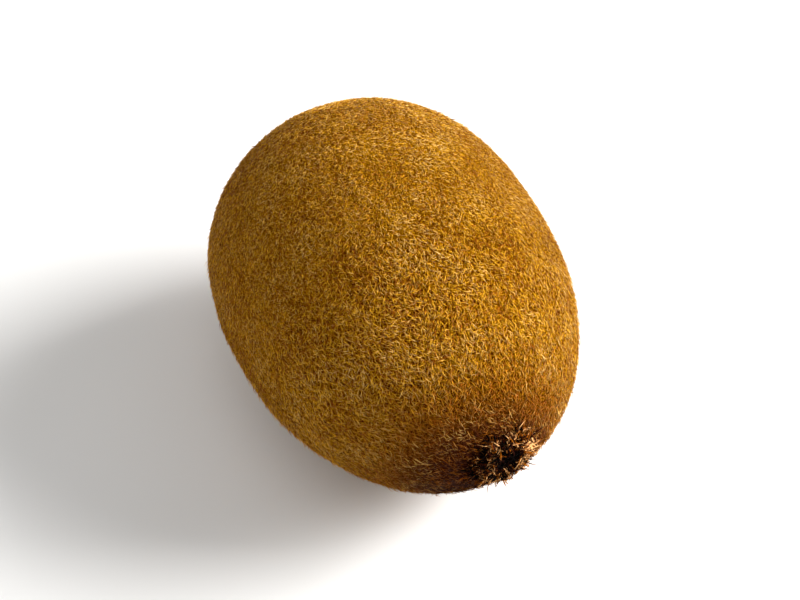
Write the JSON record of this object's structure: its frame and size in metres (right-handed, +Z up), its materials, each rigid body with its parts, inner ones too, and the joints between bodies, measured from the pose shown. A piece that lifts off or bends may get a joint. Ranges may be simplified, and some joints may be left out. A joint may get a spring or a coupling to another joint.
{
  "type": "golden kiwi fruit",
  "caption": "Whole golden kiwi fruit with bronze, finely furred skin, lying on its side, with the dry calyx at one end and the dry styles at the other.",
  "frame": {"origin": "middle of the footprint, on the surface the fruit rests on", "axes": "+X along the fruit's axis towards the blossom end, +Y across its broader side, +Z up"},
  "size_m": [0.0736, 0.0548, 0.0514],
  "materials": {
    "skin": "bronze skin under a fine golden fur, matt, darker brown at the blossom end",
    "dry_sepal": "dry, fibrous, matt",
    "dry_style": "dry, dark brown, matt"
  },
  "bodies": {
    "root": {"fruit": "skin", "dry_calyx": "dry_sepal", "dry_styles": "dry_style"}
  },
  "joints": []
}
